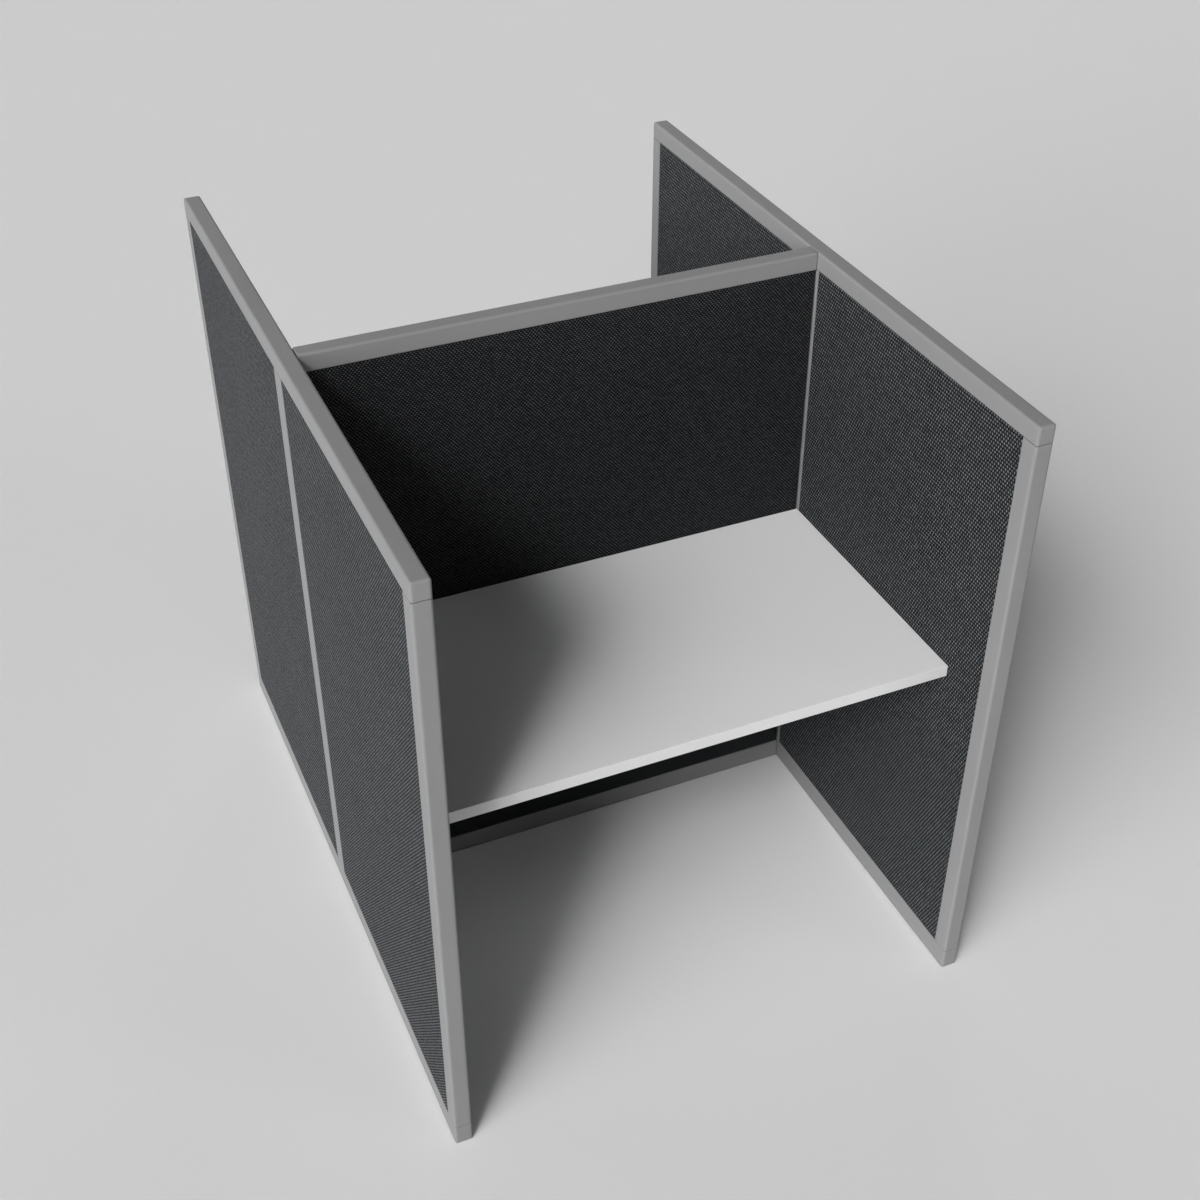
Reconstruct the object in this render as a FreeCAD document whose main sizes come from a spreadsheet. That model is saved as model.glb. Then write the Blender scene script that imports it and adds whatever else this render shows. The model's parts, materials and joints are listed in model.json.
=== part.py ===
# Free-standing cubicle workstation: two wing screens, a middle screen that joins them half way along,
# and one worksurface in the front bay.
# Lengths are in millimetres. X runs across, Y from front to rear and Z up.
# The origin is on the floor at the centre of the plan.
import FreeCAD, Part
import os
import re
import Sketcher

# Driving sizes, one named value each
DRIVING_SIZES = (
    # Whole workstation
    ("overall_width", 1145),
    ("overall_depth", 1530),
    ("overall_height", 1348),
    ("screen_thickness", 36),
    ("floor_gap", 3),
    # Frame sections
    ("cap_height", 37),
    ("rail_height", 47),
    ("post_face", 38),
    ("mid_post_face", 48),
    ("edge_radius", 5),
    ("seam_gap", 0.7),
    ("seam_chamfer", 1),
    ("wall", 2.5),
    ("lip_wall", 3),
    # Core boards, which slot into the frame sections
    ("core_thickness", 17),
    ("core_clearance", 0.3),
    ("core_engagement", 8),
    # Fabric tiles, which lie on both faces of the core boards
    ("tile_recess", 0.5),
    ("tile_gap", 0.5),
    ("tile_reveal", 3),
    ("tile_edge_chamfer", 1.2),
    # Stepped connectors between the posts and the cap or rail
    ("fit_clearance", 0.3),
    ("connector_height", 40),
    ("tenon_depth", 14),
    ("flange_recess", 1.2),
    # Joint between the middle screen and the wings
    ("stud_depth", 25),
    ("stud_wall", 2),
    ("hook_strip_depth", 6),
    ("hook_strip_inset", 150),
    ("hook_thickness", 5),
    ("hook_neck", 12),
    ("hook_drop", 10),
    ("hook_tooth", 5),
    ("hook_end_inset", 30),
    # Worksurface and its edge bands
    ("worksurface_height", 736),
    ("worksurface_thickness", 27),
    ("worksurface_setback", 139),
    ("worksurface_side_gap", 1),
    ("worksurface_rear_gap", 1),
    ("band_thickness", 2),
    ("band_radius", 1.5),
    # Support angles under the worksurface
    ("angle_leg", 40),
    ("angle_wall", 3),
    ("angle_bend_radius", 4.5),
    ("angle_corner_chamfer", 8),
    ("angle_front_setback", 66),
    ("angle_rear_gap", 41),
    # Screws of the support angles
    ("screw_diameter", 4.8),
    ("screw_clearance", 0.3),
    ("screw_head_width", 9),
    ("screw_head_height", 3),
    ("wall_screw_length", 25),
    ("wall_screw_inset", 40),
    ("board_screw_length", 21),
    ("board_screw_inset", 95),
    # Levelling glides and the tapped blocks that hold them
    ("foot_width", 24),
    ("foot_hole_clearance", 0.5),
    ("glide_stud_diameter", 8),
    ("glide_stud_length", 28.5),
    ("glide_block_length", 40),
    ("glide_block_height", 10),
    ("wing_glide_inset", 60),
    ("middle_glide_inset", 186.5),
    # How far a cut runs past the material
    ("overrun", 5),
)

# Sizes that follow from the driving sizes
FOLLOWING_SIZES = (
    ("wing_x", "(overall_width - screen_thickness) / 2"),
    ("wing_inner_x", "overall_width / 2 - screen_thickness"),
    ("half_depth", "overall_depth / 2"),
    ("rail_top", "floor_gap + rail_height"),
    ("cap_underside", "overall_height - cap_height"),
    ("opening_height", "cap_underside - rail_top"),
    ("post_length", "opening_height - 2 * seam_gap"),
    ("slot_width", "core_thickness + 2 * core_clearance"),
    ("chamber_width", "screen_thickness - 2 * wall"),
    ("groove_depth", "core_engagement + core_clearance"),
    ("mid_chamber_depth", "mid_post_face - 2 * (groove_depth + wall)"),
    ("bay_start", "mid_post_face / 2"),
    ("bay_end", "half_depth - post_face"),
    ("bay_length", "bay_end - bay_start"),
    ("bay_middle", "(bay_end + bay_start) / 2"),
    ("core_bottom", "rail_top - core_engagement"),
    ("core_height", "opening_height + 2 * core_engagement"),
    ("core_length", "bay_length + 2 * core_engagement"),
    ("tile_thickness", "(screen_thickness - core_thickness) / 2 - tile_recess"),
    ("tile_face", "screen_thickness / 2 - tile_recess"),
    ("tile_bottom", "rail_top + tile_gap"),
    ("tile_height", "opening_height - 2 * tile_gap"),
    ("tile_length", "bay_length - 2 * tile_gap"),
    ("middle_length", "2 * (wing_inner_x - seam_gap)"),
    ("middle_core_length", "2 * (wing_inner_x - stud_depth - core_clearance)"),
    ("middle_tile_length", "2 * (wing_inner_x - tile_reveal)"),
    ("block_width", "chamber_width - 2 * fit_clearance"),
    ("flange_width", "screen_thickness - 2 * flange_recess"),
    ("end_connector_depth", "post_face - wall - core_engagement - 2 * fit_clearance"),
    ("end_connector_y", "half_depth - wall - fit_clearance - end_connector_depth / 2"),
    ("mid_connector_depth", "mid_chamber_depth - 2 * fit_clearance"),
    ("hook_strip_bottom", "rail_top + hook_strip_inset"),
    ("hook_strip_length", "opening_height - 2 * hook_strip_inset"),
    ("hook_seat", "hook_strip_bottom + hook_end_inset"),
    ("hook_span", "hook_strip_length - 2 * hook_end_inset - hook_neck"),
    ("hook_slot_width", "hook_thickness + 2 * fit_clearance"),
    ("hook_slot_height", "hook_neck + hook_drop + fit_clearance"),
    ("worksurface_underside", "worksurface_height - worksurface_thickness"),
    ("worksurface_front", "half_depth - worksurface_setback"),
    ("worksurface_rear", "screen_thickness / 2 + worksurface_rear_gap"),
    ("worksurface_half_width", "wing_inner_x - worksurface_side_gap"),
    ("board_front", "worksurface_front - band_thickness"),
    ("board_rear", "worksurface_rear + band_thickness"),
    ("board_half_width", "worksurface_half_width - band_thickness"),
    ("angle_hole_offset", "(angle_leg + angle_wall) / 2"),
    ("angle_x", "wing_inner_x + tile_recess"),
    ("angle_front", "worksurface_front - angle_front_setback"),
    ("angle_rear", "worksurface_rear + angle_rear_gap"),
    ("angle_length", "angle_front - angle_rear"),
    ("angle_y", "(angle_front + angle_rear) / 2"),
    ("screw_hole", "screw_diameter + 2 * screw_clearance"),
    ("wall_screw_z", "worksurface_underside - angle_hole_offset"),
    ("core_hole_depth", "wall_screw_length - angle_wall - tile_thickness + screw_clearance"),
    ("board_hole_depth", "board_screw_length - angle_wall + screw_clearance"),
    ("wall_screw_span", "angle_length - 2 * wall_screw_inset"),
    ("board_screw_span", "angle_length - 2 * board_screw_inset"),
    ("foot_height", "floor_gap + wall"),
    ("foot_hole", "foot_width + 2 * foot_hole_clearance"),
    ("glide_hole", "glide_stud_diameter + 2 * fit_clearance"),
    ("wing_glide_span", "overall_depth - 2 * wing_glide_inset"),
    ("middle_glide_x", "wing_inner_x - middle_glide_inset"),
    ("middle_glide_span", "2 * middle_glide_x"),
)

# Counts
SCREWS_PER_FLANGE = 2
HOOKS_PER_SIDE = 3
GLIDES_PER_SCREEN = 2
HEAD_SIDES = 6

# How close two places are to count as one when edges are picked
SAME_PLACE = 0.01

# Directions of turning
ACROSS = FreeCAD.Vector(1, 0, 0)
ALONG = FreeCAD.Vector(0, 1, 0)
UPRIGHT = FreeCAD.Vector(0, 0, 1)
QUARTER = 90
HALF = 180

doc = FreeCAD.newDocument("cubicle_workstation")
nodes = []


def make_sheet():
    """Write every size into the sheet, the following ones as formulas."""
    sheet = doc.addObject("Spreadsheet::Sheet", "Sizes")
    rows = [(name, str(number)) for name, number in DRIVING_SIZES]
    rows += [(name, "=" + text) for name, text in FOLLOWING_SIZES]
    for row, (name, text) in enumerate(rows, 1):
        sheet.set("A%d" % row, name)
        sheet.set("B%d" % row, text)
        sheet.setAlias("B%d" % row, name)
    doc.recompute()
    return sheet


sheet = make_sheet()


def size(name):
    """Value of one size, as the sheet works it out."""
    return float(sheet.get(name))


def formula(text):
    """Turn size names into references to the sheet."""
    return re.sub("[a-z][a-z_]+", lambda word: "Sizes." + word.group(), str(text))


def bind(item, path, text):
    """Tie a property of an item to a formula of sizes."""
    item.setExpression(path, formula(text))


def place(item, x, y, z, axis=UPRIGHT, angle=0):
    """Turn an item about an axis and tie its position to formulas."""
    item.Placement = FreeCAD.Placement(FreeCAD.Vector(), FreeCAD.Rotation(axis, angle))
    bind(item, "Placement.Base.x", x)
    bind(item, "Placement.Base.y", y)
    bind(item, "Placement.Base.z", z)
    return item


def node(item):
    """Count an item among the pieces that are written out."""
    nodes.append(item)
    return item


def new_body(name):
    """Empty body for one piece."""
    return doc.addObject("PartDesign::Body", name)


def own(body, role):
    """Plane or axis of a body, by its role."""
    return [feature for feature in body.Origin.OriginFeatures if feature.Role == role][0]


def new_sketch(body, name, plane):
    """Empty sketch on one of the body's own planes."""
    sketch = body.newObject("Sketcher::SketchObject", body.Name + "_" + name)
    sketch.AttachmentSupport = (own(body, plane), "")
    sketch.MapMode = "FlatFace"
    return sketch


def fix_point(sketch, geometry, point, x, y):
    """Dimension one point of a sketch from the sketch's origin."""
    for direction, text in (("DistanceX", x), ("DistanceY", y)):
        number = sketch.addConstraint(Sketcher.Constraint(direction, -1, 1, geometry, point, 1))
        sketch.setExpression("Constraints[%d]" % number, formula(text))


def outline(body, name, plane, corners):
    """Closed outline whose corners are pairs of formulas."""
    sketch = new_sketch(body, name, plane)
    count = len(corners)
    spread = [FreeCAD.Vector(number, number * number, 0) for number in range(count)]
    for number in range(count):
        sketch.addGeometry(Part.LineSegment(spread[number], spread[(number + 1) % count]))
    for number in range(count):
        sketch.addConstraint(Sketcher.Constraint("Coincident", number, 2, (number + 1) % count, 1))
    for number, (x, y) in enumerate(corners):
        fix_point(sketch, number, 1, x, y)
    return sketch


def rectangle(left, low, right, high):
    """Corners of a rectangle."""
    return ((left, low), (right, low), (right, high), (left, high))


def pad(body, sketch, length, side="One side"):
    """Extrude an outline."""
    feature = body.newObject("PartDesign::Pad", sketch.Name + "_pad")
    feature.Profile = sketch
    feature.SideType = side
    bind(feature, "Length", length)
    doc.recompute()
    return feature


def pocket(body, sketch, length, side="One side", along_normal=False):
    """Cut an outline out of the body, and see that it takes something away."""
    before = body.Shape.Volume
    feature = body.newObject("PartDesign::Pocket", sketch.Name + "_cut")
    feature.Profile = sketch
    feature.SideType = side
    feature.Reversed = along_normal
    bind(feature, "Length", length)
    doc.recompute()
    if not body.Shape.Volume < before:
        raise ValueError(feature.Name + " cuts nothing")
    return feature


def repeat(body, feature, axis, span, count):
    """Repeat a feature over a span along one of the body's axes."""
    row = body.newObject("PartDesign::LinearPattern", feature.Name + "_row")
    row.Originals = [feature]
    row.Direction = (own(body, axis), [""])
    bind(row, "Length", span)
    row.Occurrences = count
    body.Tip = row
    doc.recompute()


def round_hole(body, name, plane, x, y, diameter, depth, along_normal=False):
    """Round hole about one point of a plane."""
    sketch = new_sketch(body, name, plane)
    sketch.addGeometry(Part.Circle(FreeCAD.Vector(), UPRIGHT, 1))
    fix_point(sketch, 0, 3, x, y)
    number = sketch.addConstraint(Sketcher.Constraint("Diameter", 0, 2))
    sketch.setExpression("Constraints[%d]" % number, formula(diameter))
    return pocket(body, sketch, depth, "One side", along_normal)


def hook_slots(body, base, depth, along_normal):
    """Column of slots that the hooks pass through, from the height of the body's own base."""
    sketch = outline(body, "hook_slot", "YZ_Plane", rectangle(
        "-hook_slot_width / 2", "hook_seat - (%s)" % base,
        "hook_slot_width / 2", "hook_seat - (%s) + hook_slot_height" % base))
    first = pocket(body, sketch, depth, "One side", along_normal)
    repeat(body, first, "Z_Axis", "hook_span", HOOKS_PER_SIDE)


def edges_within(body, low, high, wanted=None):
    """Names of the edges that lie whole inside a box, in the body's own frame."""
    names = []
    shape = body.Tip.Shape
    for number, edge in enumerate(shape.Edges, 1):
        box = edge.BoundBox
        lows = (box.XMin, box.YMin, box.ZMin)
        highs = (box.XMax, box.YMax, box.ZMax)
        above = all(value > limit - SAME_PLACE for value, limit in zip(lows, low))
        below = all(value < limit + SAME_PLACE for value, limit in zip(highs, high))
        if above and below and (wanted is None or wanted(edge)):
            names.append("Edge%d" % number)
    return names


def is_line_along(direction):
    """Test for straight edges that run in one direction."""
    def test(edge):
        first, last = edge.Vertexes[0].Point, edge.Vertexes[-1].Point
        return (last - first).cross(direction).Length < SAME_PLACE < (last - first).Length
    return test


def dress(body, kind, edges, path, text):
    """Round or chamfer the named edges of the body."""
    feature = body.newObject("PartDesign::" + kind, body.Name + "_" + kind + str(len(body.Group)))
    feature.Base = (body.Group[-2], edges)
    bind(feature, path, text)
    doc.recompute()
    return feature


def round_edges(body, edges, radius):
    """Fillet the named edges."""
    return dress(body, "Fillet", edges, "Radius", radius)


def chamfer_edges(body, edges, width):
    """Chamfer the named edges."""
    return dress(body, "Chamfer", edges, "Size", width)


def group(name, members):
    """One node of several separate solids."""
    item = doc.addObject("Part::Compound", name)
    item.Links = members
    return node(item)


# Frame sections

def chamfer_ends(body):
    """Chamfer the rims of both ends of a cap or rail, but for the edges that face down."""
    box = body.Shape.BoundBox
    for end in (box.YMin, box.YMax):
        rim = edges_within(body, (box.XMin, end, box.ZMin), (box.XMax, end, box.ZMax),
                           lambda edge: edge.BoundBox.ZMax > SAME_PLACE)
        chamfer_edges(body, rim, "seam_chamfer")


def cap(name, length, closed):
    """Top cap: a rounded channel section, slotted below, with its length along the body's Y."""
    body = new_body(name)
    shell = outline(body, "outline", "XZ_Plane", rectangle(
        "-screen_thickness / 2", "0", "screen_thickness / 2", "cap_height"))
    pad(body, shell, length, "Symmetric")
    box = body.Shape.BoundBox
    low = (box.XMin, box.YMin, box.ZMin)
    high = (box.XMax, box.YMax, box.ZMax)
    top = (box.XMin, box.YMin, box.ZMax)
    if closed:
        rounded = edges_within(body, low, high, lambda edge: edge.BoundBox.ZMax > SAME_PLACE)
        round_edges(body, rounded, "edge_radius")
        chamfer_edges(body, edges_within(body, low, (box.XMax, box.YMax, box.ZMin)), "seam_chamfer")
        chamber_length = "(%s) - 2 * wall" % length
    else:
        round_edges(body, edges_within(body, top, high, is_line_along(ALONG)), "edge_radius")
        chamfer_ends(body)
        chamber_length = "(%s) + 2 * overrun" % length
    chamber = outline(body, "chamber", "XZ_Plane", (
        ("-slot_width / 2", "-overrun"),
        ("slot_width / 2", "-overrun"),
        ("slot_width / 2", "lip_wall"),
        ("chamber_width / 2", "lip_wall"),
        ("chamber_width / 2", "cap_height - wall"),
        ("-chamber_width / 2", "cap_height - wall"),
        ("-chamber_width / 2", "lip_wall"),
        ("-slot_width / 2", "lip_wall")))
    pocket(body, chamber, chamber_length, "Symmetric")
    return node(body)


def rail(name, length, closed, glide_span):
    """Bottom rail: a channel section slotted above, with holes below for the glides' feet."""
    body = new_body(name)
    shell = outline(body, "outline", "XZ_Plane", rectangle(
        "-screen_thickness / 2", "0", "screen_thickness / 2", "rail_height"))
    pad(body, shell, length, "Symmetric")
    box = body.Shape.BoundBox
    low = (box.XMin, box.YMin, box.ZMin)
    high = (box.XMax, box.YMax, box.ZMax)
    corners = edges_within(body, low, high, is_line_along(UPRIGHT))
    if closed:
        round_edges(body, corners, "edge_radius")
        chamfer_edges(body, edges_within(body, (box.XMin, box.YMin, box.ZMax), high), "seam_chamfer")
        chamber_length = "(%s) - 2 * wall" % length
    else:
        chamfer_ends(body)
        chamber_length = "(%s) + 2 * overrun" % length
    chamber = outline(body, "chamber", "XZ_Plane", (
        ("-chamber_width / 2", "wall"),
        ("chamber_width / 2", "wall"),
        ("chamber_width / 2", "rail_height - lip_wall"),
        ("slot_width / 2", "rail_height - lip_wall"),
        ("slot_width / 2", "rail_height + overrun"),
        ("-slot_width / 2", "rail_height + overrun"),
        ("-slot_width / 2", "rail_height - lip_wall"),
        ("-chamber_width / 2", "rail_height - lip_wall")))
    pocket(body, chamber, chamber_length, "Symmetric")
    foot_hole = round_hole(body, "foot_hole", "XY_Plane", "0", "-(%s) / 2" % glide_span, "foot_hole",
                           "wall + overrun", True)
    repeat(body, foot_hole, "Y_Axis", glide_span, GLIDES_PER_SCREEN)
    return node(body)


def side_rims(body):
    """Rims of a post's two ends on its X faces, which make the seams under the cap and over the rail."""
    box = body.Shape.BoundBox
    rims = []
    for end in (box.ZMin, box.ZMax):
        for side in (box.XMin, box.XMax):
            rims += edges_within(body, (side, box.YMin, end), (side, box.YMax, end))
    return rims


def end_post(name):
    """Post at the end of a wing: closed and rounded at Y = 0, slotted towards the bay."""
    body = new_body(name)
    section = outline(body, "section", "XY_Plane", (
        ("-screen_thickness / 2", "0"),
        ("screen_thickness / 2", "0"),
        ("screen_thickness / 2", "post_face"),
        ("slot_width / 2", "post_face"),
        ("slot_width / 2", "post_face - lip_wall"),
        ("chamber_width / 2", "post_face - lip_wall"),
        ("chamber_width / 2", "wall"),
        ("-chamber_width / 2", "wall"),
        ("-chamber_width / 2", "post_face - lip_wall"),
        ("-slot_width / 2", "post_face - lip_wall"),
        ("-slot_width / 2", "post_face"),
        ("-screen_thickness / 2", "post_face")))
    pad(body, section, "post_length")
    box = body.Shape.BoundBox
    outer = edges_within(body, (box.XMin, 0, box.ZMin), (box.XMax, 0, box.ZMax), is_line_along(UPRIGHT))
    round_edges(body, outer, "edge_radius")
    rims = side_rims(body)
    for end in (box.ZMin, box.ZMax):
        rims += edges_within(body, (box.XMin, 0, end), (box.XMax, 0, end))
    chamfer_edges(body, rims, "seam_chamfer")
    return node(body)


def mid_post(name):
    """Post half way along a wing: grooved on both sides, with hook slots through its +X wall."""
    body = new_body(name)
    section = outline(body, "section", "XY_Plane", (
        ("-screen_thickness / 2", "-mid_post_face / 2"),
        ("-slot_width / 2", "-mid_post_face / 2"),
        ("-slot_width / 2", "groove_depth - mid_post_face / 2"),
        ("slot_width / 2", "groove_depth - mid_post_face / 2"),
        ("slot_width / 2", "-mid_post_face / 2"),
        ("screen_thickness / 2", "-mid_post_face / 2"),
        ("screen_thickness / 2", "mid_post_face / 2"),
        ("slot_width / 2", "mid_post_face / 2"),
        ("slot_width / 2", "mid_post_face / 2 - groove_depth"),
        ("-slot_width / 2", "mid_post_face / 2 - groove_depth"),
        ("-slot_width / 2", "mid_post_face / 2"),
        ("-screen_thickness / 2", "mid_post_face / 2")))
    pad(body, section, "post_length")
    chamfer_edges(body, side_rims(body), "seam_chamfer")
    chamber = outline(body, "chamber", "XY_Plane", rectangle(
        "-chamber_width / 2", "-mid_chamber_depth / 2", "chamber_width / 2", "mid_chamber_depth / 2"))
    pocket(body, chamber, "post_length + overrun", "One side", True)
    hook_slots(body, "rail_top + seam_gap", "screen_thickness / 2 + overrun", True)
    return node(body)


def stud(name):
    """Channel at the end of the middle screen, its web at X = 0 against the wing."""
    body = new_body(name)
    section = outline(body, "section", "XY_Plane", (
        ("0", "-core_thickness / 2"),
        ("0", "core_thickness / 2"),
        ("-stud_depth", "core_thickness / 2"),
        ("-stud_depth", "core_thickness / 2 - stud_wall"),
        ("-stud_wall", "core_thickness / 2 - stud_wall"),
        ("-stud_wall", "stud_wall - core_thickness / 2"),
        ("-stud_depth", "stud_wall - core_thickness / 2"),
        ("-stud_depth", "-core_thickness / 2")))
    pad(body, section, "core_height")
    hook_slots(body, "core_bottom", "stud_wall + overrun", False)
    return node(body)


def hook_strip(name):
    """Bar inside a stud with hooks that reach through the web and drop behind the +X post's wall."""
    body = new_body(name)
    bar = outline(body, "bar", "XZ_Plane", rectangle(
        "-stud_wall - hook_strip_depth", "0", "-stud_wall", "hook_strip_length"))
    pad(body, bar, "hook_thickness", "Symmetric")
    hook = outline(body, "hook", "XZ_Plane", (
        ("-stud_wall", "hook_end_inset"),
        ("wall + fit_clearance", "hook_end_inset"),
        ("wall + fit_clearance", "hook_end_inset - hook_drop"),
        ("wall + fit_clearance + hook_tooth", "hook_end_inset - hook_drop"),
        ("wall + fit_clearance + hook_tooth", "hook_end_inset + hook_neck"),
        ("-stud_wall", "hook_end_inset + hook_neck")))
    first = pad(body, hook, "hook_thickness", "Symmetric")
    repeat(body, first, "Z_Axis", "hook_span", HOOKS_PER_SIDE)
    return node(body)


# Boards

def panel(name, length, height, thickness, soft_edges=False):
    """Upright board from Y = 0 to -thickness, centred on X; a fabric tile has soft face edges."""
    body = new_body(name)
    face = outline(body, "face", "XZ_Plane", rectangle(
        "-(%s) / 2" % length, "0", "(%s) / 2" % length, height))
    pad(body, face, thickness)
    if soft_edges:
        box = body.Shape.BoundBox
        rim = edges_within(body, (box.XMin, box.YMin, box.ZMin), (box.XMax, box.YMin, box.ZMax))
        chamfer_edges(body, rim, "tile_edge_chamfer")
    return node(body)


def wall_holes(body, middle, low, depth):
    """Row of screw holes into a board from its Y = 0 side."""
    first = round_hole(body, "screw_hole", "XZ_Plane", "%s - wall_screw_span / 2" % middle,
                       "wall_screw_z - (%s)" % low, "screw_hole", depth, True)
    repeat(body, first, "X_Axis", "wall_screw_span", SCREWS_PER_FLANGE)


def flat_board(name, left, front, right, rear):
    """Level board as thick as the worksurface."""
    body = new_body(name)
    plan = outline(body, "plan", "XY_Plane", rectangle(left, front, right, rear))
    pad(body, plan, "worksurface_thickness")
    return place(body, "0", "0", "worksurface_underside")


# Inner blocks and fasteners

def connector(name, depth):
    """Stepped block: a tenon in a slot below Z = 0, a flange that fills the seam, a block in the post."""
    body = new_body(name)
    step = outline(body, "outline", "XZ_Plane", (
        ("-core_thickness / 2", "-tenon_depth"),
        ("core_thickness / 2", "-tenon_depth"),
        ("core_thickness / 2", "0"),
        ("flange_width / 2", "0"),
        ("flange_width / 2", "seam_gap"),
        ("block_width / 2", "seam_gap"),
        ("block_width / 2", "connector_height"),
        ("-block_width / 2", "connector_height"),
        ("-block_width / 2", "seam_gap"),
        ("-flange_width / 2", "seam_gap"),
        ("-flange_width / 2", "0"),
        ("-core_thickness / 2", "0")))
    pad(body, step, depth, "Symmetric")
    return body


def glide_block(name):
    """Tapped block on the floor of a bottom rail's chamber."""
    body = new_body(name)
    plan = outline(body, "plan", "XY_Plane", rectangle(
        "-block_width / 2", "-glide_block_length / 2", "block_width / 2", "glide_block_length / 2"))
    pad(body, plan, "glide_block_height")
    round_hole(body, "glide_hole", "XY_Plane", "0", "0", "glide_hole", "glide_block_height + overrun", True)
    return body


def screw(name, head_width, head_height, diameter, length):
    """Hexagon head on a round shank: the seat is at Z = 0, the head above and the shank below."""
    head = doc.addObject("Part::Prism", name + "_head")
    head.Polygon = HEAD_SIDES
    bind(head, "Circumradius", "%s / 2" % head_width)
    bind(head, "Height", head_height)
    shank = doc.addObject("Part::Cylinder", name + "_shank")
    bind(shank, "Radius", "%s / 2" % diameter)
    bind(shank, "Height", "%s + %s / 2" % (length, head_height))
    bind(shank, "Placement.Base.z", "-%s" % length)
    whole = doc.addObject("Part::Fuse", name)
    whole.Base = head
    whole.Tool = shank
    return whole


def angle_screw(name, length):
    """Screw of the support angles."""
    return screw(name, "screw_head_width", "screw_head_height", "screw_diameter", length)


def glide(name):
    """Levelling glide: a hexagon foot, which a spanner turns, and its stud."""
    return node(screw(name, "foot_width", "foot_height", "glide_stud_diameter", "glide_stud_length"))


def step_along(middle, span, number, count):
    """Place of one of several evenly spaced copies about a middle."""
    return "%s - %s / 2 + %s * %d / %d" % (middle, span, span, number, count - 1)


# Wing screens

def make_wing(wing, side):
    """One wing screen; side is -1 on the left and 1 on the right."""
    x = "%d * wing_x" % side
    mirrored = HALF if side > 0 else 0
    place(cap(wing + "_top_cap", "overall_depth", True), x, "0", "cap_underside")
    place(rail(wing + "_bottom_rail", "overall_depth", True, "wing_glide_span"), x, "0", "floor_gap")
    place(end_post(wing + "_front_post"), x, "-half_depth", "rail_top + seam_gap")
    place(end_post(wing + "_rear_post"), x, "half_depth", "rail_top + seam_gap", UPRIGHT, HALF)
    place(mid_post(wing + "_mid_post"), x, "0", "rail_top + seam_gap", UPRIGHT, mirrored)
    for bay, end in (("front", -1), ("rear", 1)):
        y = "%d * bay_middle" % end
        core = panel(wing + "_" + bay + "_core", "core_length", "core_height", "core_thickness")
        place(core, "%d * (wing_x - core_thickness / 2)" % side, y, "core_bottom", UPRIGHT, side * QUARTER)
        outer = panel(wing + "_outer_" + bay + "_tile", "tile_length", "tile_height", "tile_thickness", True)
        place(outer, "%d * (wing_x + core_thickness / 2)" % side, y, "tile_bottom", UPRIGHT, side * QUARTER)
        inner = panel(wing + "_inner_" + bay + "_tile", "tile_length", "tile_height", "tile_thickness", True)
        place(inner, "%d * (wing_x - core_thickness / 2)" % side, y, "tile_bottom", UPRIGHT, -side * QUARTER)
        if bay == "front":
            offset = "%d * (bay_middle - angle_y)"
            wall_holes(core, offset % side, "core_bottom", "core_hole_depth")
            wall_holes(inner, offset % -side, "tile_bottom", "tile_thickness + overrun")
    blocks = []
    for place_name, y, depth in (("front", "-end_connector_y", "end_connector_depth"),
                                 ("mid", "0", "mid_connector_depth"),
                                 ("rear", "end_connector_y", "end_connector_depth")):
        lower = connector(wing + "_" + place_name + "_lower_connector", depth)
        upper = connector(wing + "_" + place_name + "_upper_connector", depth)
        blocks.append(place(lower, x, y, "rail_top"))
        blocks.append(place(upper, x, y, "cap_underside", ALONG, HALF))
    group(wing + "_post_connectors", blocks)
    blocks = []
    for place_name, end in (("front", -1), ("rear", 1)):
        y = "%d * wing_glide_span / 2" % end
        blocks.append(place(glide_block(wing + "_" + place_name + "_glide_block"), x, y, "foot_height"))
        place(glide(wing + "_" + place_name + "_glide"), x, y, "foot_height", ACROSS, HALF)
    group(wing + "_glide_blocks", blocks)


# Middle screen

def make_middle():
    """The screen between the wings, with its length along X."""
    place(cap("middle_top_cap", "middle_length", False), "0", "0", "cap_underside", UPRIGHT, QUARTER)
    place(rail("middle_bottom_rail", "middle_length", False, "middle_glide_span"),
          "0", "0", "floor_gap", UPRIGHT, QUARTER)
    core = panel("middle_core", "middle_core_length", "core_height", "core_thickness")
    place(core, "0", "-core_thickness / 2", "core_bottom", UPRIGHT, HALF)
    front = panel("middle_front_tile", "middle_tile_length", "tile_height", "tile_thickness", True)
    place(front, "0", "-core_thickness / 2", "tile_bottom")
    rear = panel("middle_rear_tile", "middle_tile_length", "tile_height", "tile_thickness", True)
    place(rear, "0", "core_thickness / 2", "tile_bottom", UPRIGHT, HALF)
    blocks = []
    for side, side_name in ((-1, "left"), (1, "right")):
        turn = HALF if side < 0 else 0
        place(stud("middle_" + side_name + "_stud"), "%d * wing_inner_x" % side, "0", "core_bottom",
              UPRIGHT, turn)
        place(hook_strip("middle_" + side_name + "_hook_strip"), "%d * wing_inner_x" % side, "0",
              "hook_strip_bottom", UPRIGHT, turn)
        x = "%d * middle_glide_x" % side
        block = glide_block("middle_" + side_name + "_glide_block")
        blocks.append(place(block, x, "0", "foot_height", UPRIGHT, QUARTER))
        place(glide("middle_" + side_name + "_glide"), x, "0", "foot_height", ACROSS, HALF)
    group("middle_glide_blocks", blocks)


# Worksurface and its supports

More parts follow.
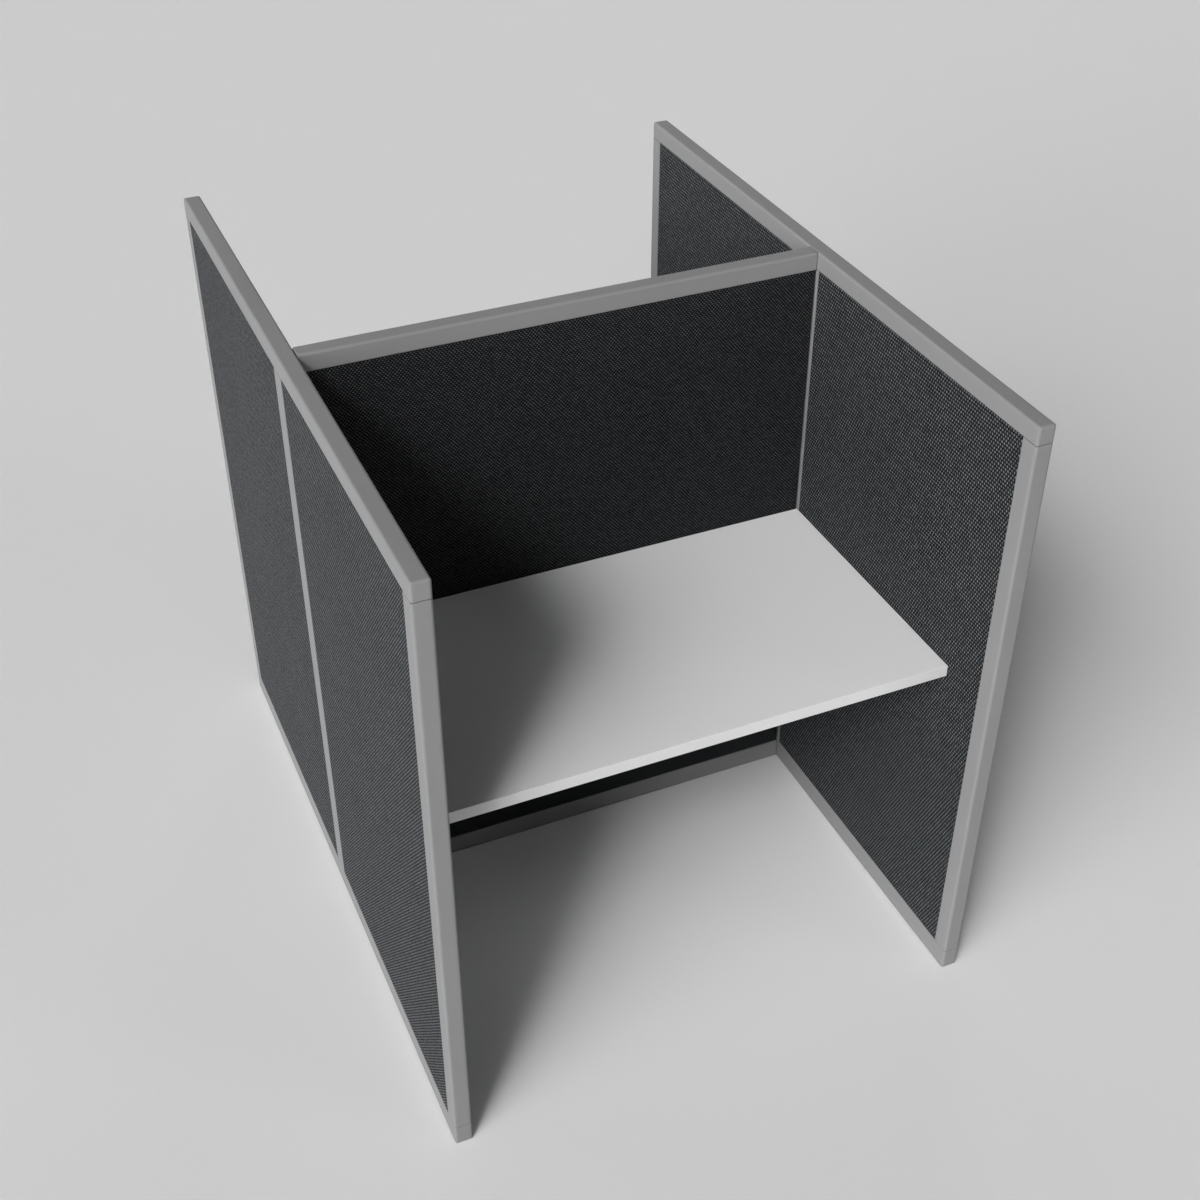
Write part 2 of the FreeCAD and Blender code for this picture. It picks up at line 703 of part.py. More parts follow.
def support_angle(name):
    """Angle section along Y: its back at X = 0 lies on a tile, its top at Z = 0 carries the board."""
    body = new_body(name)
    section = outline(body, "section", "XZ_Plane", (
        ("0", "0"),
        ("angle_leg", "0"),
        ("angle_leg", "-angle_wall"),
        ("angle_wall", "-angle_wall"),
        ("angle_wall", "-angle_leg"),
        ("0", "-angle_leg")))
    pad(body, section, "angle_length", "Symmetric")
    box = body.Shape.BoundBox
    inner = size("angle_wall")
    tips = edges_within(body, (box.XMax, box.YMin, box.ZMin), (box.XMax, box.YMax, 0), is_line_along(UPRIGHT))
    tips += edges_within(body, (0, box.YMin, box.ZMin), (box.XMax, box.YMax, box.ZMin), is_line_along(ACROSS))
    chamfer_edges(body, tips, "angle_corner_chamfer")
    heel = edges_within(body, (0, box.YMin, 0), (0, box.YMax, 0))
    round_edges(body, heel, "angle_bend_radius")
    throat = edges_within(body, (inner, box.YMin, -inner), (inner, box.YMax, -inner))
    round_edges(body, throat, "angle_bend_radius - angle_wall")
    wall_hole = round_hole(body, "wall_hole", "YZ_Plane", "-wall_screw_span / 2", "-angle_hole_offset",
                           "screw_hole", "angle_wall + overrun", True)
    repeat(body, wall_hole, "Y_Axis", "wall_screw_span", SCREWS_PER_FLANGE)
    board_hole = round_hole(body, "board_hole", "XY_Plane", "angle_hole_offset", "-board_screw_span / 2",
                            "screw_hole", "angle_wall + overrun")
    repeat(body, board_hole, "Y_Axis", "board_screw_span", SCREWS_PER_FLANGE)
    return node(body)


def make_worksurface():
    """Board, edge bands, support angles and their screws."""
    board = node(flat_board("worksurface_board", "-board_half_width", "-board_front",
                            "board_half_width", "-board_rear"))
    front_band = node(flat_board("worksurface_front_edge_band", "-worksurface_half_width",
                                 "-worksurface_front", "worksurface_half_width", "-board_front"))
    rear_band = node(flat_board("worksurface_rear_edge_band", "-board_half_width", "-board_rear",
                                "board_half_width", "-worksurface_rear"))
    left_band = flat_board("worksurface_left_edge_band", "-worksurface_half_width", "-board_front",
                           "-board_half_width", "-worksurface_rear")
    right_band = flat_board("worksurface_right_edge_band", "board_half_width", "-board_front",
                            "worksurface_half_width", "-worksurface_rear")
    half = size("worksurface_half_width")
    front, joint, rear = -size("worksurface_front"), -size("board_front"), -size("worksurface_rear")
    top = size("worksurface_thickness")
    noses = edges_within(front_band, (-half, front, 0), (half, front, top), is_line_along(ACROSS))
    for end in (-half, half):
        noses += edges_within(front_band, (end, front, 0), (end, joint, top), is_line_along(ALONG))
    round_edges(front_band, noses, "band_radius")
    noses = edges_within(rear_band, (-half, rear, 0), (half, rear, top), is_line_along(ACROSS))
    round_edges(rear_band, noses, "band_radius")
    for band, end in ((left_band, -half), (right_band, half)):
        noses = edges_within(band, (end, joint, 0), (end, rear, top), is_line_along(ALONG))
        round_edges(band, noses, "band_radius")
    group("worksurface_side_edge_bands", [left_band, right_band])
    wall_screws = []
    board_screws = []
    for side, side_name in ((-1, "left"), (1, "right")):
        turn = HALF if side > 0 else 0
        angle = support_angle(side_name + "_support_angle")
        place(angle, "%d * angle_x" % side, "-angle_y", "worksurface_underside", UPRIGHT, turn)
        hole_x = "%d * (angle_x - angle_hole_offset)" % side
        first = round_hole(board, side_name + "_screw_hole", "XY_Plane", hole_x,
                           "-angle_y - board_screw_span / 2", "screw_hole", "board_hole_depth", True)
        repeat(board, first, "Y_Axis", "board_screw_span", SCREWS_PER_FLANGE)
        for number in range(SCREWS_PER_FLANGE):
            wall_screw = angle_screw("%s_wall_screw_%d" % (side_name, number + 1), "wall_screw_length")
            y = step_along("-angle_y", "wall_screw_span", number, SCREWS_PER_FLANGE)
            wall_screws.append(place(wall_screw, "%d * (angle_x - angle_wall)" % side, y,
                                     "wall_screw_z", ALONG, -side * QUARTER))
            board_screw = angle_screw("%s_board_screw_%d" % (side_name, number + 1), "board_screw_length")
            y = step_along("-angle_y", "board_screw_span", number, SCREWS_PER_FLANGE)
            board_screws.append(place(board_screw, hole_x, y, "worksurface_underside - angle_wall",
                                      ACROSS, HALF))
    group("support_angle_screws", wall_screws)
    group("worksurface_screws", board_screws)


make_wing("left_wing", -1)
make_wing("right_wing", 1)
make_middle()
make_worksurface()
doc.recompute()

# Every feature is sound before anything is written
for item in doc.Objects:
    if "Invalid" in item.State or "Error" in item.State:
        raise ValueError(item.Name + " is not sound")
for item in nodes:
    if item.Shape.isNull() or not item.Shape.isValid():
        raise ValueError(item.Name + " has no sound shape")

os.makedirs("parts", exist_ok=True)
for item in nodes:
    item.Shape.exportStep("parts/" + item.Label + ".step")
    print(item.Label, len(item.Shape.Solids), round(item.Shape.Volume))
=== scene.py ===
"""Looks of the cubicle workstation: camera, light, floor, materials and the detailed fasteners.

Lengths are in metres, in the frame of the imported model: X across, Y from the worksurface bay to the open rear
bay, Z up, with the origin on the floor.
"""
import json
import math

import bpy
from mathutils import Matrix, Vector


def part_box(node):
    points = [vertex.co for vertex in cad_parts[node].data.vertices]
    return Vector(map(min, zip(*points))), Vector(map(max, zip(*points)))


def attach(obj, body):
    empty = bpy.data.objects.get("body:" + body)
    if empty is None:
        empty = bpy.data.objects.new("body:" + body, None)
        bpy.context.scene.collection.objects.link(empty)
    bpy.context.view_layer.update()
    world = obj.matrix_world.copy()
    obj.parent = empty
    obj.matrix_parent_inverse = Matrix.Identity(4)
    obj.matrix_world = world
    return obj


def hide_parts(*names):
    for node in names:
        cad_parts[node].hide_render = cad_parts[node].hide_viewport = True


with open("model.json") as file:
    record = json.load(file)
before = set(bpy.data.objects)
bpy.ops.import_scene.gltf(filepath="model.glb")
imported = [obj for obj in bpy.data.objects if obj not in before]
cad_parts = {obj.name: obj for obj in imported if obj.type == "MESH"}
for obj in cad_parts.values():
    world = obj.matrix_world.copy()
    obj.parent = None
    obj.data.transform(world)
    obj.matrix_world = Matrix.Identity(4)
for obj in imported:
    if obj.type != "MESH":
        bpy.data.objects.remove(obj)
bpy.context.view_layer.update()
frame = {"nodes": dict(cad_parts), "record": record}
nodes = frame["nodes"]
scene = bpy.context.scene

MM = 0.001


# Camera, as the photograph was taken

CAMERA_PLACE = (-1.10314, -2.68129, 2.78263)
DEGREES_DOWN = 36.62412
DEGREES_TO_RIGHT = 23.56464
LENS_MM = 50
SENSOR_MM = 36
SEE_AS_FAR_AS = 400


def make_camera():
    """Camera at the photograph's place and angle."""
    data = bpy.data.cameras.new("camera")
    data.lens = LENS_MM
    data.sensor_width = SENSOR_MM
    data.clip_end = SEE_AS_FAR_AS
    camera = bpy.data.objects.new("camera", data)
    scene.collection.objects.link(camera)
    camera.location = CAMERA_PLACE
    camera.rotation_euler = (math.radians(90 - DEGREES_DOWN), 0, -math.radians(DEGREES_TO_RIGHT))
    scene.camera = camera


# Light

# Of each sun: azimuth from the front towards the left, height above the floor, strength, and width in the sky.
# The angles are in degrees. Together they light the part as the photograph shows it.
SUNS = (
    (45, 40, 1.13, 12),
    (37, 40, 0.23, 12),
    (50, 40, 0.57, 20),
    (65, 40, 0.69, 20),
    (5, 60, 0.12, 20),
    (-45, 20, 0.24, 20),
    (50, 20, 0.42, 20),
    (60, 8, 0.88, 20),
    (80, 8, 0.85, 20),
    (125, 8, 0.23, 20),
    (-150, 8, 0.52, 20),
    (180, 1, 1.39, 20),
)
SKY = 0.005


def make_lights():
    """Wide soft lights, as from a ring of studio panels, and a faint even sky."""
    for number, (azimuth, height, strength, width) in enumerate(SUNS):
        name = "light_%d" % number
        data = bpy.data.lights.new(name, "SUN")
        data.energy = strength
        data.angle = math.radians(width)
        light = bpy.data.objects.new(name, data)
        scene.collection.objects.link(light)
        turn, rise = math.radians(azimuth), math.radians(height)
        towards = Vector((-math.sin(turn) * math.cos(rise), -math.cos(turn) * math.cos(rise), math.sin(rise)))
        light.rotation_euler = towards.to_track_quat("Z", "Y").to_euler()
    world = bpy.data.worlds.new("sky")
    world.use_nodes = True
    sky = world.node_tree.nodes["Background"]
    sky.inputs["Color"].default_value = (1, 1, 1, 1)
    sky.inputs["Strength"].default_value = SKY
    scene.world = world
    scene.view_settings.view_transform = "Standard"


# Material graphs

class Graph:
    """A material whose nodes are added by short calls; every call gives back the node's first output."""

    def __init__(self, name, **sockets):
        self.material = bpy.data.materials.new(name)
        self.material.use_nodes = True
        self.tree = self.material.node_tree
        self.shader = self.tree.nodes["Principled BSDF"]
        self.set(**sockets)

    def put(self, socket, value):
        """Link an output to a socket, or set the socket's own value."""
        if isinstance(value, bpy.types.NodeSocket):
            self.tree.links.new(value, socket)
        elif isinstance(socket.default_value, (int, float)):
            socket.default_value = value
        else:
            value = (value,) * 3 if isinstance(value, (int, float)) else tuple(value)
            socket.default_value = (value + (1,))[:len(socket.default_value)]

    def set(self, **sockets):
        """Set the shader's sockets, whose names are written with _ for a space."""
        for name, value in sockets.items():
            self.put(self.shader.inputs[name.replace("_", " ")], value)

    def node(self, kind, inputs, **settings):
        """Add any node; inputs go by number or name."""
        node = self.tree.nodes.new(kind)
        for name, value in settings.items():
            setattr(node, name, value)
        for key, value in inputs.items():
            self.put(node.inputs[key], value)
        return node

    def math(self, operation, *values, clamp=False):
        """Math node."""
        return self.node("ShaderNodeMath", dict(enumerate(values)), operation=operation, use_clamp=clamp).outputs[0]

    def plus(self, first, second):
        """Sum of two numbers."""
        return self.math("ADD", first, second)

    def times(self, first, *others):
        """Product of numbers."""
        for other in others:
            first = self.math("MULTIPLY", first, other)
        return first

    def mix(self, share, first, second):
        """Blend of two numbers."""
        return self.node("ShaderNodeMix", {0: share, 2: first, 3: second}, data_type="FLOAT").outputs[0]

    def blend(self, share, first, second):
        """Blend of two colours."""
        return self.node("ShaderNodeMix", {0: share, 6: first, 7: second}, data_type="RGBA").outputs[2]

    def vector(self, operation, *values):
        """Vector math node."""
        return self.node("ShaderNodeVectorMath", dict(enumerate(values)), operation=operation).outputs[0]

    def tint(self, colour, strength):
        """A colour times a number."""
        return self.node("ShaderNodeVectorMath", {"Vector": colour, "Scale": strength}, operation="SCALE").outputs[0]

    def span(self, value, low, high, new_low=0.0, new_high=1.0, smooth=False):
        """Carry a value from one range to another, kept within it."""
        kind = "SMOOTHSTEP" if smooth else "LINEAR"
        return self.node("ShaderNodeMapRange", {0: value, 1: low, 2: high, 3: new_low, 4: new_high},
                         interpolation_type=kind).outputs[0]

    def place(self, stretch=(1, 1, 1)):
        """Place on the object in metres, stretched by a factor along each axis."""
        coordinates = self.node("ShaderNodeTexCoord", {}).outputs["Object"]
        return coordinates if stretch == (1, 1, 1) else self.vector("MULTIPLY", coordinates, stretch)

    def split(self, vector):
        """The three parts of a vector."""
        return self.node("ShaderNodeSeparateXYZ", {0: vector}).outputs

    def noise(self, size, stretch=(1, 1, 1), detail=2):
        """Cloudy noise from 0 to 1, whose lumps are about as large as size."""
        return self.node("ShaderNodeTexNoise", {"Vector": self.place(stretch), "Scale": 1 / size,
                                                "Detail": detail}).outputs[0]

    def vary(self, value, noise, share):
        """A number that noise moves up and down by a share of itself."""
        return self.math("MULTIPLY", value, self.span(noise, 0.25, 0.75, 1 - share, 1 + share))

    def bump(self, height, depth, strength, under=None):
        """Relief of a height from 0 to 1 over a depth in metres, on top of another relief where there is one."""
        inputs = {"Height": height, "Distance": depth, "Strength": strength}
        if under is not None:
            inputs["Normal"] = under
        return self.node("ShaderNodeBump", inputs).outputs[0]


# Painted metal of the frames

FRAME_GREY = (0.238, 0.238, 0.239)
PEEL_SIZE = 1.1 * MM
PEEL_DEPTH = 0.05 * MM
SPECK_SIZE = 0.7 * MM
SPECK_DEPTH = 0.012 * MM
EASED_EDGE = 4 * MM
EASING_SAMPLES = 4


def frame_paint():
    """Satin grey powder coat: fine orange peel, faint clouding and a little polish on handled parts."""
    graph = Graph("frame_paint", Metallic=0.0, Specular_IOR_Level=0.12)
    speck = graph.noise(SPECK_SIZE, detail=1)
    shade = graph.vary(graph.vary(1.0, graph.noise(size=0.35, detail=3), share=0.035), speck, share=0.03)
    graph.set(Base_Color=graph.tint(FRAME_GREY, shade))
    handled = graph.vary(0.7, graph.noise(size=0.12, detail=4), share=0.1)
    graph.set(Roughness=graph.vary(handled, speck, share=0.06))
    eased = graph.node("ShaderNodeBevel", {"Radius": EASED_EDGE}, samples=EASING_SAMPLES).outputs[0]
    specks = graph.bump(speck, SPECK_DEPTH, strength=0.6, under=eased)
    graph.set(Normal=graph.bump(graph.noise(PEEL_SIZE), PEEL_DEPTH, strength=0.6, under=specks))
    return graph.material


# Woven cloth of the tiles

UPRIGHT_YARN = (0.122, 0.129, 0.137)
LEVEL_YARN = (0.0122, 0.0127, 0.0139)
# Painted shade and painted light: the middle screen's cloth is darkened and the wings' outer cloth is lightened, in
# place of shade and light that the lamps do not give; all the tiles have one cloth
MIDDLE_PAINTED_SHADE = 0.55
OUTER_PAINTED_LIGHT = 1.18

# Spacing of the upright floats along a row, and of the rows; the wings' inner faces have the taller rows
PAIR_WIDTH = 7.2 * MM
TALL_ROW = 7.39 * MM
SHORT_ROW = 4.15 * MM

# How far the rows wander, and how fuzzy the floats' rims are, as shares of one repeat of the weave
DRIFT = 0.06
DRIFT_SIZE = 30 * MM
FUZZ = 0.02
FUZZ_SIZE = 0.5 * MM

# Half sizes of the two kinds of float; a share is of the row's height
UPRIGHT_HALF_WIDTH = 2.05 * MM
UPRIGHT_HALF_SHARE = 0.4
LEVEL_HALF_WIDTH = 2.5 * MM
LEVEL_HALF_SHARE = 0.5
FLOAT_SQUARENESS = 2.5
FLOAT_ROUNDNESS = 0.6
FLOAT_RIM = 0.3
LEVEL_SINK = 0.75

# Plies: their number in a yarn, the yarns in one repeat of the weave, and the slant of the ridges
PLIES = 3
UPRIGHT_YARNS = 2.0
LEVEL_YARNS = 4.0
PLY_SLANT = 0.9
FIBRE_SIZE = 0.3 * MM
FIBRE_STRETCH = 0.15

# Depth of the relief, and the parts in it of the floats, plies and fibres
CLOTH_DEPTH = 0.5 * MM
FLOAT_RELIEF = 0.72
PLY_RELIEF = 0.13
FIBRE_RELIEF = 0.15

# Differences in shade: random tone between floats and between fibres; painted shade in the plies' grooves and
# painted light on their ridges; painted shade into the gaps between floats
FLOAT_VARIETY = 0.28
FIBRE_VARIETY = 0.35
GROOVE_SHADE = 0.6
RIDGE_SHADE = 1.15
GAP_SHADE = 0.25
GAP_TOP = 0.8
GAP_FLOOR = 0.1


def floats(graph, diagonals, shift, half_width, half_height, row_height):
    """One kind of float: how far a point is up on it, from 0 at its rim to 1 on its crown, and its own number."""
    place = graph.vector("ADD", diagonals, (shift, shift, shift))
    p, q = graph.split(graph.vector("SUBTRACT", graph.vector("FRACTION", place), (0.5, 0.5, 0.5)))[:2]
    away = []
    for joined, period, half in (("ADD", PAIR_WIDTH, half_width), ("SUBTRACT", 2 * row_height, half_height)):
        offset = graph.times(graph.math(joined, p, q), period / 2 / half)
        away.append(graph.math("POWER", graph.math("ABSOLUTE", offset), FLOAT_SQUARENESS))
    up = graph.math("SUBTRACT", 1.0, graph.plus(*away), clamp=True)
    cell = graph.vector("FLOOR", place)
    own = graph.node("ShaderNodeTexWhiteNoise", {"Vector": cell}, noise_dimensions="3D").outputs["Value"]
    return up, own


def plies(graph, across, yarns, along):
    """Slanted ridges of the plies that a yarn is twisted from: 0 in a groove and 1 on a ridge."""
    slant = graph.plus(graph.times(across, yarns), graph.times(along, PLY_SLANT))
    return graph.math("ABSOLUTE", graph.math("SINE", graph.times(slant, PLIES * math.pi)))


def cloth(name, row_height, painted_light_factor=1.0):
    """Plain weave of mixed grey yarn: light upright floats stand in staggered rows between dark level floats. The
    last factor is painted light above 1 and painted shade below 1.
    """
    graph = Graph(name, Metallic=0.0, Specular_IOR_Level=0.06, Sheen_Weight=0.02, Sheen_Roughness=0.5,
                  Roughness=0.92)
    x, y, z = graph.split(graph.place())
    drift = graph.span(graph.noise(DRIFT_SIZE), 0.0, 1.0, -DRIFT, DRIFT)
    fuzz = graph.span(graph.noise(FUZZ_SIZE), 0.2, 0.8, -FUZZ, FUZZ)
    # Every tile stands upright along X or Y, so the sum of both runs across each
    u = graph.plus(graph.math("DIVIDE", graph.plus(x, y), PAIR_WIDTH), graph.plus(drift, fuzz))
    v = graph.plus(graph.math("DIVIDE", z, 2 * row_height), drift)
    # Along the two diagonals both kinds of float stand on a square grid
    diagonals = graph.node("ShaderNodeCombineXYZ", {"X": graph.plus(u, v), "Y": graph.math("SUBTRACT", u, v)})
    diagonals = diagonals.outputs[0]
    upright, upright_own = floats(graph, diagonals, 0.5, UPRIGHT_HALF_WIDTH, UPRIGHT_HALF_SHARE * row_height,
                                  row_height)
    level, level_own = floats(graph, diagonals, 0.0, LEVEL_HALF_WIDTH, LEVEL_HALF_SHARE * row_height, row_height)
    over = graph.span(upright, 0.0, FLOAT_RIM, smooth=True)
    ply = graph.mix(over, plies(graph, v, LEVEL_YARNS, u), plies(graph, u, UPRIGHT_YARNS, v))
    fibre = graph.mix(over, graph.noise(FIBRE_SIZE, (FIBRE_STRETCH, FIBRE_STRETCH, 1)),
                      graph.noise(FIBRE_SIZE, (1, 1, FIBRE_STRETCH)))
    dome = graph.math("MAXIMUM", graph.math("POWER", upright, FLOAT_ROUNDNESS),
                      graph.times(graph.math("POWER", level, FLOAT_ROUNDNESS), LEVEL_SINK))
    height = graph.plus(graph.times(dome, FLOAT_RELIEF),
                        graph.plus(graph.times(ply, PLY_RELIEF), graph.times(fibre, FIBRE_RELIEF)))
    # Each float takes the dye a little differently; painted shade darkens the gaps between yarns and the plies'
    # grooves, and painted light lifts the ridges
    own = graph.mix(over, level_own, upright_own)
    shade = graph.times(graph.span(own, 0.0, 1.0, 1 - FLOAT_VARIETY, 1 + FLOAT_VARIETY),
                        graph.vary(1.0, fibre, FIBRE_VARIETY),
                        graph.span(ply, 0.0, 1.0, GROOVE_SHADE, RIDGE_SHADE),
                        graph.span(dome, GAP_FLOOR, GAP_TOP, GAP_SHADE, 1.0))
    # The last factor is painted light above 1 and painted shade below 1 on this copy of the cloth
    shade = graph.times(graph.vary(shade, graph.noise(size=0.25, detail=3), share=0.05), painted_light_factor)
    graph.set(Base_Color=graph.tint(graph.blend(over, LEVEL_YARN, UPRIGHT_YARN), shade))
    graph.set(Normal=graph.bump(height, CLOTH_DEPTH, strength=0.6))
    return graph.material


# Worksurface

LAMINATE_WHITE = (0.8, 0.8, 0.8)
PEBBLE_SIZE = 0.9 * MM
PEBBLE_DEPTH = 0.03 * MM
BAND_WHITE = (0.66, 0.66, 0.66)
DRAG_SIZE = 0.5 * MM
DRAG_DEPTH = 0.02 * MM


def laminate():
    """White laminate: a fine pebbled surface with faint mottling."""
    graph = Graph("white_laminate", Metallic=0.0, Specular_IOR_Level=0.35)
    pebble = graph.noise(PEBBLE_SIZE)
    shade = graph.vary(1.0, graph.noise(size=0.3, detail=3), share=0.012)
    graph.set(Base_Color=graph.tint(LAMINATE_WHITE, graph.vary(shade, graph.noise(size=4 * MM), share=0.01)))
    wiped = graph.vary(0.5, graph.noise(size=0.1, detail=4), share=0.1)
    graph.set(Roughness=graph.vary(wiped, pebble, share=0.08))
    graph.set(Normal=graph.bump(pebble, PEBBLE_DEPTH, strength=0.5))
    return graph.material


def edge_band():
    """White plastic edging: a fine lengthwise drag from trimming over a soft grain."""
    graph = Graph("edge_band", Metallic=0.0, Specular_IOR_Level=0.4)
    drag = graph.noise(DRAG_SIZE, (0.04, 0.04, 1))
    shade = graph.vary(graph.vary(1.0, graph.noise(size=0.2, detail=3), share=0.012), drag, share=0.012)
    graph.set(Base_Color=graph.tint(BAND_WHITE, shade))
    graph.set(Roughness=graph.vary(0.42, drag, share=0.15))
    graph.set(Normal=graph.bump(drag, DRAG_DEPTH, strength=0.5))
    return graph.material


# Steel, plastic and board out of sight

ZINC_GREY = (0.52, 0.53, 0.54)
SPANGLE_SIZE = 5 * MM
SCRATCH_SIZE = 0.4 * MM
SCRATCH_DEPTH = 0.02 * MM
GLIDE_GREY = (0.27, 0.27, 0.28)
TURNING_SIZE = 0.3 * MM
TURNING_DEPTH = 0.02 * MM
WORN_HEIGHT = 2 * MM
PLASTIC_BLACK = (0.022, 0.022, 0.023)
GRAIN_SIZE = 0.5 * MM
GRAIN_DEPTH = 0.03 * MM
BOARD_BROWN = (0.34, 0.25, 0.16)
PULP_SIZE = 0.6 * MM
PULP_DEPTH = 0.05 * MM


def zinc():
    """Zinc plate: soft spangle, faint scratches and dull spots."""
    graph = Graph("zinc_plate", Metallic=0.9, Specular_IOR_Level=0.5)
    spangle = graph.node("ShaderNodeTexVoronoi", {"Vector": graph.place(), "Scale": 1 / SPANGLE_SIZE})
    flake = graph.split(spangle.outputs["Color"])[0]
    scratch = graph.noise(SCRATCH_SIZE, (1, 0.05, 1))
    shade = graph.vary(graph.vary(1.0, flake, share=0.06), graph.noise(size=0.05, detail=3), share=0.08)
    graph.set(Base_Color=graph.tint(ZINC_GREY, shade))
    graph.set(Roughness=graph.vary(graph.vary(0.42, flake, share=0.14), scratch, share=0.12))
    graph.set(Normal=graph.bump(scratch, SCRATCH_DEPTH, strength=0.5))
    return graph.material


def glide_steel():
    """Darker turned steel of the glides, with rings from turning and a worn foot."""
    graph = Graph("glide_steel", Metallic=0.9, Specular_IOR_Level=0.5)
    turning = graph.noise(TURNING_SIZE, (0.2, 0.2, 1))
    z = graph.split(graph.place())[2]
    worn = graph.span(z, 0.0, WORN_HEIGHT, 1.0, 0.0, smooth=True)
    wear = graph.times(worn, graph.noise(size=3 * MM, detail=4))
    shade = graph.vary(graph.plus(1.0, graph.times(wear, 0.5)), turning, share=0.08)
    graph.set(Base_Color=graph.tint(GLIDE_GREY, shade))
    graph.set(Roughness=graph.vary(0.4, turning, share=0.2))
    graph.set(Normal=graph.bump(turning, TURNING_DEPTH, strength=0.5))
    return graph.material


def moulded_plastic():
    """Black moulded plastic with a fine spark-eroded grain."""
    graph = Graph("black_plastic", Metallic=0.0, Specular_IOR_Level=0.4)
    grain = graph.noise(GRAIN_SIZE, detail=3)
    shade = graph.vary(1.0, graph.noise(size=0.02, detail=3), share=0.1)
    graph.set(Base_Color=graph.tint(PLASTIC_BLACK, shade))
    graph.set(Roughness=graph.vary(0.55, grain, share=0.15))
    graph.set(Normal=graph.bump(grain, GRAIN_DEPTH, strength=0.6))
    return graph.material


def core_board():
    """Brown paper facing of the core boards: long fibres and darker flecks."""
    graph = Graph("core_board", Metallic=0.0, Specular_IOR_Level=0.1)
    pulp = graph.noise(PULP_SIZE, (0.3, 0.3, 1), detail=4)
    fleck = graph.span(graph.noise(size=2.5 * MM, detail=3), 0.62, 0.7, 1.0, 0.75)
    graph.set(Base_Color=graph.tint(BOARD_BROWN, graph.times(graph.vary(1.0, pulp, share=0.12), fleck)))
    graph.set(Roughness=graph.vary(0.9, pulp, share=0.05))
    graph.set(Normal=graph.bump(pulp, PULP_DEPTH, strength=0.5))
    return graph.material


# Materials on the CAD nodes

def dress(name, material):
    """Give a CAD node its material."""
    node = nodes[name]
    node.data.materials.clear()
    node.data.materials.append(material)


def dress_nodes():
    """Give every CAD node the material of its slot, and give back the materials by slot."""
    materials = {
        "frame_grey": frame_paint(),
        "white_laminate": laminate(),
        "edge_band": edge_band(),
        "zinc_steel": zinc(),
        "glide_steel": glide_steel(),
        "connector": moulded_plastic(),
        "core_board": core_board(),
    }
    # The outer cloth is lightened as painted light and the middle cloth is darkened as painted shade; all the tiles
    # have one cloth
    outer, inner = cloth("cloth_fine_painted_light", SHORT_ROW, OUTER_PAINTED_LIGHT), cloth("cloth_tall", TALL_ROW)
    middle = cloth("cloth_painted_shade", SHORT_ROW, MIDDLE_PAINTED_SHADE)
    for part in frame["record"]["subparts"]:
        name, slot = part["node"], part["material_slot"]
        if slot == "fabric":
            dress(name, inner if "inner" in name else middle if "middle" in name else outer)
        else:
            dress(name, materials[slot])
    return materials


# Fasteners in detail: each is a skin over rings of points, drawn with its seat at Z = 0 and its head above

# Steps of a turn, rings of a thread's pitch, and edges that stay sharp from this angle up
TURN_STEPS = 36
TURNS = [2 * math.pi * step / TURN_STEPS for step in range(TURN_STEPS)]
RINGS_PER_PITCH = 6
SHARP = math.radians(32)

# Hexagons: the round bearing face as a share of the width across flats, and the slope of the chamfer from it
HEX_SIDES = 6
BEARING_SHARE = 0.97
CHAMFER_SLOPE = math.tan(math.radians(30))

# Levelling glides
GLIDE_STUD_RADIUS = 4 * MM
GLIDE_THREAD_DEPTH = 0.7 * MM
GLIDE_PITCH = 1.25 * MM
GLIDE_TIP = 1.2 * MM
GLIDE_TIP_SHARE = 0.8
GLIDE_FOOT_HEIGHT = 5.5 * MM

# Screws of the support angles
SCREW_RADIUS = 2.4 * MM
SCREW_THREAD_DEPTH = 0.6 * MM
SCREW_PITCH = 1.8 * MM
SCREW_TIP = 6 * MM
SCREW_TIP_SHARE = 0.08
SCREW_HEAD_HEIGHT = 3 * MM
SCREW_FLANGE_RADIUS = 4.45 * MM
SCREW_FLANGE_HEIGHT = 0.8 * MM
SCREW_HEX_RADIUS = 3.7 * MM
SCREW_DISH_SHARES = (0.7, 0.55)
SCREW_DISH_DEPTH = 0.6 * MM


def circle(radius, height):
    """A round ring."""
    return [(radius * math.cos(turn), radius * math.sin(turn), height) for turn in TURNS]


def hexagon_rings(circumradius, low, high):
    """Rings of a hexagon head with its corners chamfered at both ends; one corner lies along X."""
    sector = 2 * math.pi / HEX_SIDES
    flat = circumradius * math.cos(sector / 2)
    bearing = flat * BEARING_SHARE
    rings = [[], [], [], []]
    for turn in TURNS:
        side = flat / math.cos(turn % sector - sector / 2)
        drop = (side - bearing) * CHAMFER_SLOPE
        levels = ((bearing, low), (side, low + drop), (side, high - drop), (bearing, high))
        for ring, (radius, height) in zip(rings, levels):
            ring.append((radius * math.cos(turn), radius * math.sin(turn), height))
    return rings


def thread_rings(major, depth, pitch, length, tip, tip_share):
    """Rings of a threaded shank, from its narrowed tip up to the seat."""
    rings = []
    count = round(length / pitch * RINGS_PER_PITCH)
    for step in range(count + 1):
        height = length * (step / count - 1)
        share = min(1, tip_share + (1 - tip_share) * (height + length) / tip)
        ring = []
        for turn in TURNS:
            crest = abs(2 * ((height / pitch - turn / (2 * math.pi)) % 1) - 1)
            radius = share * (major - depth * crest)
            ring.append((radius * math.cos(turn), radius * math.sin(turn), height))
        rings.append(ring)
    return rings


